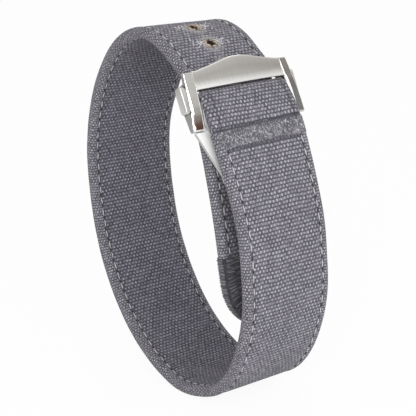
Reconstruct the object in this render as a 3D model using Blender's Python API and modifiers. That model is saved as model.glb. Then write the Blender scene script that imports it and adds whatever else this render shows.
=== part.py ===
import math

import bmesh
import bpy
import numpy as np
from mathutils import Matrix, Vector

# Loop of the worn strap, over its outer face, in metres
LOOP_WIDTH = 0.0504
LOOP_HEIGHT = 0.0696
STRAP_WIDTH = 0.0200
PLY = 0.0006
CORE_THICKNESS = 0.00085
PLY_GAP = 0.00005
PATH_STEP = 0.0024

# Tail and its holes
TAIL_TIP_LENGTH = 0.0148
TAIL_LEAVES_AT = 0.0066
TAIL_LEAVES = 0.0009
TIP_SWELL = 0.0001
HOLE_DIAMETER = 0.0025
HOLE_PITCH = 0.0056
HOLES_BEFORE_PEG = 1
HOLES_AFTER_PEG = 4

# Clasp frame
CLASP_LENGTH = 0.0104
WALL = 0.0019
SIDE_PLAY = 0.0002
WALL_CORNER = 0.0012
ARM_RISE = 0.0012
ARM_FALL = 0.0007
WALL_DROP = 0.0017
BRIDGE_LENGTH = 0.0032
BRIDGE_THICKNESS = 0.0007
BRIDGE_RISE = 0.0004
HAT_REACH = 0.0018
FRAME_EDGE = 0.0002

# Blades of the folding clasp and their hinge
BLADE = 0.00055
BLADE_GAP = 0.0001
TAIL_CLEARANCE = 0.0001
STRAP_CLEARANCE = 0.0001
BLADE_INSIDE_CLASP = 0.0026
CLASP_TO_HINGE = 0.0096
KNUCKLE_DIAMETER = 0.0014
HINGE_PIN_DIAMETER = 0.0008
HINGE_PLAY = 0.00004
KNUCKLE_GAP = 0.0002
CENTRE_KNUCKLE_SHARE = 0.592
BASE_PLAY = 0.0004
HINGE_INSET = 0.0015
WING_PLAY = 0.0002
WING_TO_HINGE = 0.0010
EAR = 0.0005
EAR_PLAY = 0.0002
EAR_LAP = 0.0013
TAB_LENGTH = 0.0022
TAB_DEPTH = 0.0006
TAB_PLAY = 0.00005

# Peg in the strap's hole
PEG_DIAMETER = 0.0019
PEG_INSIDE_CLASP = 0.0004

# Spring bar in the strap's loop
BAR_BEHIND_BRIDGE = 0.0017
BAR_RISE = 0.00075
BARREL_DIAMETER = 0.0015
BARREL_BORE = 0.00108
TIP_DIAMETER = 0.0009
TIP_PLAY = 0.00005
TIP_INSIDE = 0.0040
BARREL_PLAY = 0.0002
SPRING_WIRE = 0.00018
SPRING_TURNS = 12
SPRING_PLAY = 0.00008

# Push buttons
BUTTON_AHEAD = 0.00045
BUTTON_LENGTH = 0.0050
BUTTON_HEIGHT = 0.0022
BUTTON_TRAVEL = 0.0006
BUTTON_STAND = 0.0007
BUTTON_STEM = 0.0005
BUTTON_LIP = 0.0003
BUTTON_FLANGE = 0.0003
BUTTON_FLANGE_REACH = 0.00025
BUTTON_PLAY = 0.00006
BUTTON_DROP = 0.0003
BUTTON_ROUND = 0.0006

# Sewn cross band on the closing end of the strap
TACK_LENGTH = 0.0034
TACK_THICKNESS = 0.00015
TACK_MARGIN = 0.0010
LOOP_TO_TACK = 0.0067

# Cut between the strap's two halves at the fold
CUT_GAP = 0.00015
END_TURN = math.radians(45.0)
OVERRUN = 0.0010

# Shares of the half loop that the outer face runs through, from the clasp over the top
CLASP_PLACE_SHARES = (0.3293, 0.7930)
CLASP_SLOPE = math.radians(63.0)
OVER_SHARES = (
    (0.278, 0.794), (0.191, 0.842), (0.083, 0.897), (-0.055, 0.948), (-0.226, 0.980),
    (-0.411, 0.957), (-0.590, 0.885), (-0.762, 0.749), (-0.884, 0.596), (-0.968, 0.417),
    (-1.010, 0.204), (-0.991, -0.019), (-0.938, -0.218), (-0.845, -0.418),
    (-0.709, -0.598), (-0.535, -0.757), (-0.308, -0.894), (-0.075, -0.979),
    (0.170, -1.020), (0.428, -0.991), (0.646, -0.918), (0.805, -0.794),
    (0.909, -0.641), (0.972, -0.472), (0.988, -0.316), (0.972, -0.184),
)
TAIL_SHARES = (
    (0.795, -0.553), (0.786, -0.421), (0.759, -0.274), (0.717, -0.138), (0.660, 0.051),
)

THICKNESS = 2 * PLY + CORE_THICKNESS + 2 * PLY_GAP
BAR_AT = BRIDGE_LENGTH + BAR_BEHIND_BRIDGE
BUTTON_AT = BAR_AT - BUTTON_AHEAD
BUTTON_END = BUTTON_AT + BUTTON_LENGTH / 2 + 2 * BUTTON_FLANGE_REACH
BLADE_START = CLASP_LENGTH - BLADE_INSIDE_CLASP
HINGE_AT = CLASP_LENGTH + CLASP_TO_HINGE
WING_END = HINGE_AT - WING_TO_HINGE
PEG_AT = CLASP_LENGTH - PEG_INSIDE_CLASP
HALF_WIDTH = STRAP_WIDTH / 2
WALL_INNER = HALF_WIDTH + SIDE_PLAY
FRAME_WIDTH = 2 * (WALL_INNER + WALL)
EAR_OUTER = WALL_INNER - EAR_PLAY
LOOP_HALF = EAR_OUTER - EAR - EAR_PLAY / 2
BARREL_LENGTH = 2 * (EAR_OUTER - EAR - BARREL_PLAY)
BASE_HALF = WALL_INNER - BASE_PLAY
HINGE_HALF = WALL_INNER - HINGE_INSET
CENTRE_KNUCKLE = CENTRE_KNUCKLE_SHARE * 2 * HINGE_HALF
BLADE_TOP = -STRAP_CLEARANCE
FOLD_BOTTOM = BLADE_TOP - BLADE
BASE_TOP = FOLD_BOTTOM - BLADE_GAP
BASE_BOTTOM = BASE_TOP - BLADE
TAIL_TOP = BASE_BOTTOM - TAIL_CLEARANCE
HINGE_HEIGHT = (FOLD_BOTTOM + BASE_TOP) / 2
ARM_TOP = ARM_RISE
BRIDGE_TOP = ARM_TOP + BRIDGE_RISE
BAR_RADIUS_IN_LOOP = BARREL_DIAMETER / 2 + PLY_GAP
TACK_START = BAR_AT + LOOP_TO_TACK
CLOSURE_OUTER = THICKNESS + STRAP_CLEARANCE


def clear_scene():
    for item in list(bpy.data.objects):
        bpy.data.objects.remove(item, do_unlink=True)


def collection(name):
    made = bpy.data.collections.new(name)
    bpy.context.scene.collection.children.link(made)
    return made


def material(name, colour, roughness, metallic):
    made = bpy.data.materials.new(name)
    made.use_nodes = True
    shader = made.node_tree.nodes["Principled BSDF"]
    shader.inputs["Base Color"].default_value = (*colour, 1)
    shader.inputs["Roughness"].default_value = roughness
    shader.inputs["Metallic"].default_value = metallic
    made.diffuse_color = (*colour, 1)
    return made


def clasp_point(along, out):
    x0 = CLASP_PLACE_SHARES[0] * LOOP_WIDTH / 2
    z0 = CLASP_PLACE_SHARES[1] * LOOP_HEIGHT / 2
    c, s = math.cos(CLASP_SLOPE), math.sin(CLASP_SLOPE)
    return (x0 + along * c + out * s, z0 - along * s + out * c)


def clasp_matrix(along, across, out):
    x, z = clasp_point(along, out)
    return Matrix.Translation((x, across, z)) @ Matrix.Rotation(CLASP_SLOPE, 4, "Y")


def share_points(table):
    return [(x * LOOP_WIDTH / 2, z * LOOP_HEIGHT / 2) for x, z in table]


# Smooth curve through points, as closely spaced points and its outward normals
def smooth(points, step):
    p = np.array(points, float)
    gaps = np.linalg.norm(np.diff(p, axis=0), axis=1)
    t = np.concatenate([[0], np.cumsum(gaps)])
    n = len(p)
    system = np.zeros((n, n))
    right = np.zeros((n, 2))
    system[0, 0] = 1
    system[-1, -1] = 1
    for i in range(1, n - 1):
        before, after = t[i] - t[i - 1], t[i + 1] - t[i]
        system[i, i - 1] = before
        system[i, i] = 2 * (before + after)
        system[i, i + 1] = after
        right[i] = 6 * ((p[i + 1] - p[i]) / after - (p[i] - p[i - 1]) / before)
    bend = np.linalg.solve(system, right)
    count = max(2, round(t[-1] / step))
    result = []
    for value in np.linspace(0, t[-1], count + 1):
        i = min(max(np.searchsorted(t, value) - 1, 0), n - 2)
        width = t[i + 1] - t[i]
        a, b = (t[i + 1] - value) / width, (value - t[i]) / width
        curve = (a**3 - a) * bend[i] + (b**3 - b) * bend[i + 1]
        result.append(a * p[i] + b * p[i + 1] + curve * width**2 / 6)
    return np.array(result)


def normals(path):
    step = np.gradient(path, axis=0)
    step /= np.linalg.norm(step, axis=1)[:, None]
    return np.column_stack([step[:, 1], -step[:, 0]])


def lengths(path):
    gaps = np.linalg.norm(np.diff(path, axis=0), axis=1)
    return np.concatenate([[0], np.cumsum(gaps)])


def point_at(path, distance):
    run = lengths(path)
    return np.array([np.interp(distance, run, path[:, 0]), np.interp(distance, run, path[:, 1])])


def cut_path(path, start, end):
    run = lengths(path)
    middle = path[(run > start + PLY_GAP) & (run < end - PLY_GAP)]
    return np.vstack([point_at(path, start), middle, point_at(path, end)])


def band(path, outer, inner):
    n = normals(path)
    return list(map(tuple, path - n * outer)) + list(map(tuple, (path - n * inner)[::-1]))


def arc(centre, radius, start, end, count):
    turns = np.linspace(start, end, count)
    return [(centre[0] + radius * math.cos(a), centre[1] + radius * math.sin(a)) for a in turns]


# Closed outline in the X Z plane, pushed out along Y both ways
def outline(name, points, half, place, across=0.0):
    curve = bpy.data.curves.new(name, "CURVE")
    curve.dimensions = "2D"
    curve.fill_mode = "BOTH"
    curve.extrude = half
    line = curve.splines.new("POLY")
    line.points.add(len(points) - 1)
    for spot, (x, z) in zip(line.points, points):
        spot.co = (x, z, 0, 1)
    line.use_cyclic_u = True
    maker = bpy.data.objects.new(name + "_outline", curve)
    place.objects.link(maker)
    maker.matrix_world = Matrix.Translation((0, across, 0)) @ Matrix.Rotation(math.pi / 2, 4, "X")
    return to_mesh(maker, name, place)


# Closed section of depth and across values, carried along a path
def sweep(name, path, section, place):
    work = bmesh.new()
    rings = []
    for point, normal in zip(path, normals(path)):
        spots = [point - normal * depth for depth, across in section]
        rings.append([
            work.verts.new((spot[0], across, spot[1])) for spot, (depth, across) in zip(spots, section)
        ])
    for before, after in zip(rings[:-1], rings[1:]):
        for k in range(len(section)):
            work.faces.new((before[k - 1], before[k], after[k], after[k - 1]))
    work.faces.new(rings[0])
    work.faces.new(rings[-1])
    bmesh.ops.recalc_face_normals(work, faces=work.faces)
    mesh = bpy.data.meshes.new(name)
    work.to_mesh(mesh)
    work.free()
    made = bpy.data.objects.new(name, mesh)
    place.objects.link(made)
    return made


def to_mesh(maker, name, place):
    bpy.context.view_layer.update()
    shape = maker.evaluated_get(bpy.context.evaluated_depsgraph_get())
    mesh = bpy.data.meshes.new_from_object(shape)
    mesh.transform(maker.matrix_world)
    work = bmesh.new()
    work.from_mesh(mesh)
    bmesh.ops.remove_doubles(work, verts=work.verts, dist=PLY_GAP / 50)
    bmesh.ops.recalc_face_normals(work, faces=work.faces)
    work.to_mesh(mesh)
    work.free()
    made = bpy.data.objects.new(name, mesh)
    place.objects.link(made)
    bpy.data.objects.remove(maker, do_unlink=True)
    return made


def local_outline(name, points, half, place, across=0.0):
    return outline(name, [clasp_point(s, h) for s, h in points], half, place, across)


def box(name, size, matrix, place):
    mesh = bpy.data.meshes.new(name)
    work = bmesh.new()
    bmesh.ops.create_cube(work, size=1)
    bmesh.ops.scale(work, vec=size, verts=work.verts)
    work.to_mesh(mesh)
    work.free()
    made = bpy.data.objects.new(name, mesh)
    place.objects.link(made)
    made.matrix_world = matrix
    return made


# Rod whose axis is the matrix's Z
def rod(name, diameter, length, matrix, place, sides=24):
    mesh = bpy.data.meshes.new(name)
    work = bmesh.new()
    bmesh.ops.create_cone(
        work, cap_ends=True, segments=sides, radius1=diameter / 2, radius2=diameter / 2, depth=length
    )
    work.to_mesh(mesh)
    work.free()
    made = bpy.data.objects.new(name, mesh)
    place.objects.link(made)
    made.matrix_world = matrix
    round_shade(made)
    return made


def round_shade(item):
    item.data.shade_smooth()
    item.data.set_sharp_from_angle(angle=math.radians(35))


def boolean(target, other, kind):
    step = target.modifiers.new(kind.lower(), "BOOLEAN")
    step.operation = kind
    step.solver = "EXACT"
    step.object = other
    return step


def bevel(target, width, segments=1):
    step = target.modifiers.new("edge", "BEVEL")
    step.width = width
    step.segments = segments
    step.limit_method = "ANGLE"
    step.angle_limit = math.radians(40)
    return step


def across_y(matrix):
    return matrix @ Matrix.Rotation(math.pi / 2, 4, "X")


clear_scene()
parts = collection("nylon_watch_strap")
cutters = collection("cutters")

webbing = material("webbing", (0.165, 0.160, 0.185), 0.92, 0.0)
webbing_dark = material("webbing_dark", (0.105, 0.100, 0.122), 0.95, 0.0)
binding = material("binding", (0.130, 0.124, 0.150), 0.95, 0.0)
thread = material("thread", (0.42, 0.41, 0.44), 0.85, 0.0)
steel = material("brushed_steel", (0.60, 0.59, 0.57), 0.30, 1.0)
steel_plain = material("plain_steel", (0.66, 0.65, 0.64), 0.22, 1.0)

# One path for the outer face: tail, under the clasp, over the top and round to the fold
under_clasp = [clasp_point(s, TAIL_TOP) for s in (CLASP_LENGTH, CLASP_LENGTH * 0.65, BRIDGE_LENGTH)]
over_top = share_points(OVER_SHARES)
closing = [
    clasp_point(CLASP_LENGTH * share, CLOSURE_OUTER + STRAP_CLEARANCE * lift_share)
    for share, lift_share in ((3.05, -12.0), (2.4, -2.0), (2.0, 0.0), (1.5, 0.0))
]
closing.append(clasp_point(TACK_START, CLOSURE_OUTER))
tail = share_points(TAIL_SHARES) + [clasp_point(CLASP_LENGTH + TAIL_LEAVES_AT, TAIL_TOP - TAIL_LEAVES)]
whole = smooth(tail + under_clasp + over_top + closing, PATH_STEP)
total = lengths(whole)[-1]


# Distance along the path of the point nearest to one in the clasp's frame
def nearest(along, out, first, last):
    run = lengths(whole)
    tried = np.linspace(first, last, 1500)
    spots = np.column_stack([np.interp(tried, run, whole[:, 0]), np.interp(tried, run, whole[:, 1])])
    return tried[np.argmin(np.linalg.norm(spots - np.array(clasp_point(along, out)), axis=1))]


peg_run = nearest(PEG_AT, TAIL_TOP, 0, total / 2)
swing = CLOSURE_OUTER - HINGE_HEIGHT
cut_run = nearest(HINGE_AT + swing + CUT_GAP, CLOSURE_OUTER, total / 2, total)
main_path = cut_path(whole, TAIL_TIP_LENGTH, cut_run)
tip_path = cut_path(whole, 0, TAIL_TIP_LENGTH - CUT_GAP)
closing_path = cut_path(whole, cut_run + CUT_GAP, total)


def flat(depth, thickness):
    half = HALF_WIDTH - PLY - PLY_GAP
    return [(depth, -half), (depth, half), (depth + thickness, half), (depth + thickness, -half)]


# Three plies: a cover folded round both edges, a core and a lining
def plies(prefix, path, place_holes):
    edge = HALF_WIDTH - PLY
    folded = [
        (0, -HALF_WIDTH), (0, HALF_WIDTH), (THICKNESS, HALF_WIDTH), (THICKNESS, edge),
        (PLY, edge), (PLY, -edge), (THICKNESS, -edge), (THICKNESS, -HALF_WIDTH),
    ]
    cover = sweep(prefix + "_cover", path, folded, parts)
    core = sweep(prefix + "_core", path, flat(PLY + PLY_GAP, CORE_THICKNESS), parts)
    lining = sweep(prefix + "_lining", path, flat(THICKNESS - PLY, PLY), parts)
    for item in (cover, core, lining):
        item.data.materials.append(webbing if item is cover else webbing_dark)
        for hole in place_holes:
            boolean(item, hole, "DIFFERENCE")
    return cover, core, lining


def strap_matrix(run, depth, across=0.0):
    point = point_at(whole, run)
    ahead = point_at(whole, run + PATH_STEP / 2) - point_at(whole, run - PATH_STEP / 2)
    ahead /= np.linalg.norm(ahead)
    out = Vector((ahead[1], 0, -ahead[0]))
    spot = Vector((point[0], across, point[1])) - out * depth
    turn = out.to_track_quat("Z", "Y").to_matrix().to_4x4()
    return Matrix.Translation(spot) @ turn


holes = []
for number in range(-HOLES_BEFORE_PEG, HOLES_AFTER_PEG + 1):
    spot = strap_matrix(peg_run + number * HOLE_PITCH, THICKNESS / 2)
    label = "hole_%d" % (number + HOLES_BEFORE_PEG + 1)
    holes.append(rod(label, HOLE_DIAMETER, THICKNESS + 2 * OVERRUN, spot, cutters, 20))

main = plies("strap", main_path, holes)
closure = plies("closure", closing_path, [])

# Bound tail tip, round in plan
tip_band = band(tip_path, -TIP_SWELL, THICKNESS + TIP_SWELL)
tip = outline("tail_tip", tip_band, HALF_WIDTH + TIP_SWELL, parts)
tip.data.materials.append(binding)
tip_radius = HALF_WIDTH + TIP_SWELL
turn_spot = strap_matrix(tip_radius, THICKNESS / 2)
keep = rod("tip_round", 2 * tip_radius, THICKNESS + 4 * OVERRUN, turn_spot, cutters, 48)
far_end = Vector((*point_at(whole, 0),))
ahead_2d = point_at(whole, tip_radius) - point_at(whole, 0)
ahead_2d /= np.linalg.norm(ahead_2d)
beyond = Vector((ahead_2d[0], 0, ahead_2d[1]))
keep_rest = box(
    "tip_rest",
    (2 * STRAP_WIDTH, 2 * STRAP_WIDTH, THICKNESS + 4 * OVERRUN),
    Matrix.Translation(beyond * STRAP_WIDTH) @ turn_spot,
    cutters,
)
boolean(keep_rest, keep, "UNION")
boolean(tip, keep_rest, "INTERSECT")

# The closing end's loop round the spring bar joins its cover
bar_centre = (BAR_AT, BAR_RISE)
ring_out = BAR_RADIUS_IN_LOOP + PLY
top = CLOSURE_OUTER
low = STRAP_CLEARANCE
hook = [(TACK_START + PLY, top - PLY_GAP), (TACK_START, top - PLY_GAP)]
hook += [(BAR_AT + LOOP_TO_TACK / 2, (top + BAR_RISE + ring_out) / 2)]
hook += arc(bar_centre, ring_out, math.radians(84), math.radians(276), 17)
hook += [(BAR_AT + LOOP_TO_TACK * 0.38, low), (TACK_START - PLY / 2, low)]
hook += [(TACK_START - PLY / 2, low + PLY)]
hook += [(BAR_AT + LOOP_TO_TACK * 0.35, low + PLY)]
hook += arc(bar_centre, BAR_RADIUS_IN_LOOP, math.radians(288), math.radians(72), 17)
hook += [(BAR_AT + LOOP_TO_TACK / 2, (top + BAR_RISE + ring_out) / 2 - PLY)]
hook += [(TACK_START, top - PLY + PLY_GAP), (TACK_START + PLY, top - PLY + PLY_GAP)]
loop = local_outline("bar_loop", hook, LOOP_HALF, cutters)

# The closing end turns within a round of the strap's outer face about the hinge
hinge_spot = (HINGE_AT, HINGE_HEIGHT)
end_round = arc(hinge_spot, swing - CUT_GAP / 2, math.radians(90), END_TURN, 9)
end_round += [
    (end_round[-1][0], HINGE_HEIGHT - swing), (HINGE_AT + 2 * swing, HINGE_HEIGHT - swing),
    (HINGE_AT + 2 * swing, HINGE_HEIGHT + 2 * swing), (HINGE_AT, HINGE_HEIGHT + 2 * swing),
]
end_cut = local_outline("closing_round", end_round, STRAP_WIDTH, cutters)
for item in closure:
    boolean(item, end_cut, "DIFFERENCE")
boolean(closure[0], loop, "UNION")

# Clasp frame: two side walls, a bridge between them and a slot for the strap under it
wall_side = [
    (0, ARM_TOP), (BUTTON_AT, ARM_TOP), (BUTTON_END, ARM_TOP - ARM_FALL / 4),
    (CLASP_LENGTH, ARM_TOP - ARM_FALL), (CLASP_LENGTH, TAIL_TOP - WALL_DROP * 0.4),
    (CLASP_LENGTH - WALL_CORNER, TAIL_TOP - WALL_DROP * 0.6),
    (WALL_CORNER, TAIL_TOP - WALL_DROP * 0.3),
    (0, TAIL_TOP),
]
bridge_side = [
    (BRIDGE_RISE, ARM_TOP - BRIDGE_THICKNESS), (BRIDGE_RISE, BRIDGE_TOP - BRIDGE_RISE / 2),
    (2 * BRIDGE_RISE, BRIDGE_TOP), (BRIDGE_LENGTH - BRIDGE_RISE / 2, BRIDGE_TOP),
    (BRIDGE_LENGTH, BRIDGE_TOP - BRIDGE_RISE / 2),
    (BRIDGE_LENGTH, ARM_TOP - BRIDGE_THICKNESS),
]
frame = local_outline("clasp_frame", bridge_side, FRAME_WIDTH / 2 - WALL / 2, parts)
frame.data.materials.append(steel)
hat_plan = [(-1, -0.15), (-0.22, 1.0), (0.22, 1.0), (1, -0.15), (1, -1.0), (-1, -1.0)]
hat_half = WALL_INNER + WALL / 3
hat = outline(
    "hat", [(x * hat_half, z * HAT_REACH) for x, z in hat_plan], (BRIDGE_TOP - ARM_TOP + BRIDGE_THICKNESS) / 2,
    cutters,
)
hat_turn = Matrix(((0, 0, -1), (1, 0, 0), (0, -1, 0))).to_4x4()
hat_height = (BRIDGE_TOP + ARM_TOP - BRIDGE_THICKNESS) / 2 - BRIDGE_RISE / 4
hat.matrix_world = clasp_matrix(0, 0, hat_height) @ hat_turn
boolean(frame, hat, "UNION")
for side in (-1, 1):
    across = side * (FRAME_WIDTH - WALL) / 2
    wall = local_outline("wall_%+d" % side, wall_side, WALL / 2, cutters, across)
    bevel(wall, FRAME_EDGE)
    boolean(frame, wall, "UNION")
button_mid = (BUTTON_AT, -BUTTON_DROP)
for side in (-1, 1):
    middle = FRAME_WIDTH / 2 - WALL / 2
    through = clasp_matrix(button_mid[0], side * middle, button_mid[1])
    size = (BUTTON_LENGTH + 2 * BUTTON_PLAY, WALL + 2 * OVERRUN, BUTTON_HEIGHT + 2 * BUTTON_PLAY)
    boolean(frame, box("button_way_%+d" % side, size, through, cutters), "DIFFERENCE")
    deep = WALL - BUTTON_LIP + OVERRUN
    pocket = clasp_matrix(button_mid[0], side * (FRAME_WIDTH / 2 - BUTTON_LIP - deep / 2), button_mid[1])
    rim = 2 * (BUTTON_FLANGE_REACH + BUTTON_PLAY)
    size = (BUTTON_LENGTH + rim, deep, BUTTON_HEIGHT + rim)
    boolean(frame, box("button_pocket_%+d" % side, size, pocket, cutters), "DIFFERENCE")
    tab_mid = CLASP_LENGTH - TAB_LENGTH / 2 - WALL_CORNER / 2
    slot = clasp_matrix(tab_mid, side * WALL_INNER, (BASE_TOP + BASE_BOTTOM) / 2)
    size = (TAB_LENGTH + 2 * TAB_PLAY, 2 * (TAB_DEPTH + TAB_PLAY), BLADE + 2 * TAB_PLAY)
    boolean(frame, box("tab_slot_%+d" % side, size, slot, cutters), "DIFFERENCE")

# Base blade: tabs in the side walls, wings past them and two outer knuckles
knuckle_r = KNUCKLE_DIAMETER / 2


# Plate of the clasp, its plan given as distances along and half widths
def blade(name, low_h, high_h, plan, knuckles):
    right = [(half, -along) for along, half in plan]
    left = [(-half, -along) for along, half in plan[::-1]]
    made = outline(name, right + left, (high_h - low_h) / 2, parts)
    made.matrix_world = clasp_matrix(0, 0, (high_h + low_h) / 2) @ hat_turn
    made.data.materials.append(steel_plain)
    reach = 2 * (knuckle_r + KNUCKLE_GAP)
    for mid, width in knuckles["cleared"]:
        spot = clasp_matrix(HINGE_AT, mid, HINGE_HEIGHT)
        cut = box(name + "_clear_%+.0f" % (mid / OVERRUN), (reach, width, 2 * KNUCKLE_DIAMETER), spot, cutters)
        boolean(made, cut, "DIFFERENCE")
    for mid, width in knuckles["kept"]:
        spot = across_y(clasp_matrix(HINGE_AT, mid, HINGE_HEIGHT))
        knuckle = rod(name + "_knuckle_%+.0f" % (mid / OVERRUN), KNUCKLE_DIAMETER, width, spot, cutters)
        boolean(made, knuckle, "UNION")
    bore = across_y(clasp_matrix(HINGE_AT, 0, HINGE_HEIGHT))
    bore_size = HINGE_PIN_DIAMETER + 2 * HINGE_PLAY
    boolean(made, rod(name + "_bore", bore_size, FRAME_WIDTH, bore, cutters), "DIFFERENCE")
    return made


blade_end = HINGE_AT + 2 * HINGE_PLAY
outer_width = HINGE_HALF - CENTRE_KNUCKLE / 2 - KNUCKLE_GAP * 1.5
outer_mid = CENTRE_KNUCKLE / 2 + KNUCKLE_GAP + outer_width / 2
outer_pair = [(-outer_mid, outer_width), (outer_mid, outer_width)]
wide_pair = [
    (side * (CENTRE_KNUCKLE / 2 + KNUCKLE_GAP / 4 + STRAP_WIDTH / 2), STRAP_WIDTH)
    for side in (-1, 1)
]
wing_start = CLASP_LENGTH + BLADE_GAP
base_plan = [
    (BLADE_START, BASE_HALF), (wing_start, BASE_HALF), (wing_start, FRAME_WIDTH / 2 - WING_PLAY),
    (WING_END, HINGE_HALF), (blade_end, HINGE_HALF),
]
base = blade(
    "base_blade", BASE_BOTTOM, BASE_TOP, base_plan,
    {"kept": outer_pair, "cleared": [(0, CENTRE_KNUCKLE + KNUCKLE_GAP * 1.5)]},
)
tabs = box(
    "blade_tabs", (TAB_LENGTH, 2 * (WALL_INNER + TAB_DEPTH), BLADE - 2 * TAB_PLAY),
    clasp_matrix(tab_mid, 0, (BASE_TOP + BASE_BOTTOM) / 2), cutters,
)
boolean(base, tabs, "UNION")

# Fold blade: one centre knuckle, an ear at each side with the spring bar's hole
ear_start = BRIDGE_LENGTH + EAR_PLAY
ear_end = BLADE_START + EAR_LAP
fold_half = EAR_OUTER - EAR / 3
fold_plan = [
    (BLADE_START, fold_half), (ear_end + EAR, fold_half), (ear_end + EAR + HINGE_INSET, HINGE_HALF),
    (blade_end, HINGE_HALF),
]
fold = blade(
    "fold_blade", FOLD_BOTTOM, BLADE_TOP, fold_plan, {"kept": [(0, CENTRE_KNUCKLE)], "cleared": wide_pair}
)
ear_side = [
    (ear_start, FOLD_BOTTOM + BLADE / 3), (ear_end, FOLD_BOTTOM + BLADE / 3),
    (ear_end, BLADE_TOP + BLADE / 3), (BAR_AT + EAR_LAP, ARM_TOP - EAR_PLAY),
    (ear_start + EAR, ARM_TOP - EAR_PLAY), (ear_start, ARM_TOP - EAR_PLAY - EAR),
]
for side in (-1, 1):
    ear = local_outline("ear_%+d" % side, ear_side, EAR / 2, cutters, side * (EAR_OUTER - EAR / 2))
    boolean(fold, ear, "UNION")
    hole = across_y(clasp_matrix(BAR_AT, side * EAR_OUTER, BAR_RISE))
    boolean(fold, rod("tip_way_%+d" % side, TIP_DIAMETER + 2 * TIP_PLAY, 4 * EAR, hole, cutters), "DIFFERENCE")

pin = rod(
    "hinge_pin", HINGE_PIN_DIAMETER, 2 * HINGE_HALF - KNUCKLE_GAP,
    across_y(clasp_matrix(HINGE_AT, 0, HINGE_HEIGHT)), parts
)
pin.data.materials.append(steel_plain)

# Peg from the base blade through the strap's hole
peg = rod("strap_peg", PEG_DIAMETER, THICKNESS, strap_matrix(peg_run, THICKNESS / 2), parts)
peg.data.materials.append(steel_plain)
bevel(peg, PEG_DIAMETER / 8, 2)

# Spring bar: barrel, two tips and the spring between them
barrel = rod("bar_barrel", BARREL_DIAMETER, BARREL_LENGTH, across_y(clasp_matrix(BAR_AT, 0, BAR_RISE)), parts)
barrel.data.materials.append(steel_plain)
bore = rod("barrel_bore", BARREL_BORE, FRAME_WIDTH, across_y(clasp_matrix(BAR_AT, 0, BAR_RISE)), cutters)
boolean(barrel, bore, "DIFFERENCE")
tip_end = EAR_OUTER - TIP_PLAY
tip_length = tip_end - BARREL_LENGTH / 2 + TIP_INSIDE
bar_tips = []
for side, word in ((-1, "left"), (1, "right")):
    spot = across_y(clasp_matrix(BAR_AT, side * (tip_end - tip_length / 2), BAR_RISE))
    made = rod("bar_tip_" + word, TIP_DIAMETER, tip_length, spot, parts, 20)
    made.data.materials.append(steel_plain)
    bar_tips.append(made)
spring_half = tip_end - tip_length - SPRING_PLAY
coil_radius = BARREL_BORE / 2 - SPRING_PLAY - SPRING_WIRE / 2
points = []
for k in range(SPRING_TURNS * 9 + 1):
    turn = 2 * math.pi * k / 9
    run = -1 + 2 * k / (SPRING_TURNS * 9)
    coil_end = run * (spring_half - SPRING_WIRE)
    points.append((coil_radius * math.cos(turn), coil_radius * math.sin(turn), coil_end))
coil = bpy.data.curves.new("bar_spring", "CURVE")
coil.dimensions = "3D"
coil.bevel_depth = SPRING_WIRE / 2
coil.bevel_resolution = 1
coil.use_fill_caps = True
wire = coil.splines.new("POLY")
wire.points.add(len(points) - 1)
for spot, place in zip(wire.points, points):
    spot.co = (*place, 1)
coil_maker = bpy.data.objects.new("coil", coil)
parts.objects.link(coil_maker)
coil_maker.matrix_world = across_y(clasp_matrix(BAR_AT, 0, BAR_RISE))
spring = to_mesh(coil_maker, "bar_spring", parts)
spring.data.materials.append(steel_plain)
spring.data.shade_smooth()

# Push buttons in the side walls
buttons = []
for side, word in ((-1, "left"), (1, "right")):
    outer_face = FRAME_WIDTH / 2 + BUTTON_TRAVEL + BUTTON_STAND
    inner_face = FRAME_WIDTH / 2 - BUTTON_LIP - BUTTON_FLANGE - BUTTON_PLAY
    spot = clasp_matrix(button_mid[0], side * (outer_face + inner_face) / 2, button_mid[1])
    button = box(
        "button_" + word, (BUTTON_LENGTH, outer_face - inner_face, BUTTON_HEIGHT), spot, parts
    )
    button.data.materials.append(steel)
    bevel(button, BUTTON_ROUND / 2, 2)
    flange_spot = clasp_matrix(button_mid[0], side * (inner_face + BUTTON_FLANGE / 2), button_mid[1])
    size = (BUTTON_LENGTH + 2 * BUTTON_FLANGE_REACH, BUTTON_FLANGE, BUTTON_HEIGHT + 2 * BUTTON_FLANGE_REACH)
    boolean(button, box("flange_" + word, size, flange_spot, cutters), "UNION")
    stem_length = inner_face + BUTTON_FLANGE / 2 - tip_end - TIP_PLAY
    stem_spot = clasp_matrix(BAR_AT, side * (tip_end + TIP_PLAY + stem_length / 2), BAR_RISE)
    boolean(button, rod("stem_" + word, BUTTON_STEM, stem_length, across_y(stem_spot), cutters, 16), "UNION")
    buttons.append(button)

# Cross band of stitches that closes the loop round the spring bar
tack = box(
    "cross_tack", (TACK_LENGTH, STRAP_WIDTH - 2 * TACK_MARGIN, TACK_THICKNESS),
    clasp_matrix(TACK_START + TACK_LENGTH / 2 + PLY, 0, CLOSURE_OUTER + TACK_THICKNESS / 2 + PLY_GAP), parts,
)
tack.data.materials.append(thread)

# Each moving group hangs from an empty on its axis
bpy.context.view_layer.update()


def hang(name, spot, items):
    axis = bpy.data.objects.new(name, None)
    parts.objects.link(axis)
    axis.matrix_world = spot
    bpy.context.view_layer.update()
    for item in items:
        keep_place = item.matrix_world.copy()
        item.parent = axis
        item.matrix_parent_inverse = axis.matrix_world.inverted()
        item.matrix_world = keep_place
    return axis


fold_axis = hang(
    "fold_axis", clasp_matrix(HINGE_AT, 0, HINGE_HEIGHT), [fold, *closure, tack, barrel, spring, *bar_tips]
)
for item in list(cutters.objects):
    item.hide_render = True
    item.display_type = "WIRE"
for item in parts.objects:
    if item.type == "MESH" and item.name.startswith(("strap_c", "strap_l", "closure", "tail")):
        round_shade(item)
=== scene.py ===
import math
import random

import bmesh
import bpy
import numpy as np
from mathutils import Matrix, Vector, noise


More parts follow.
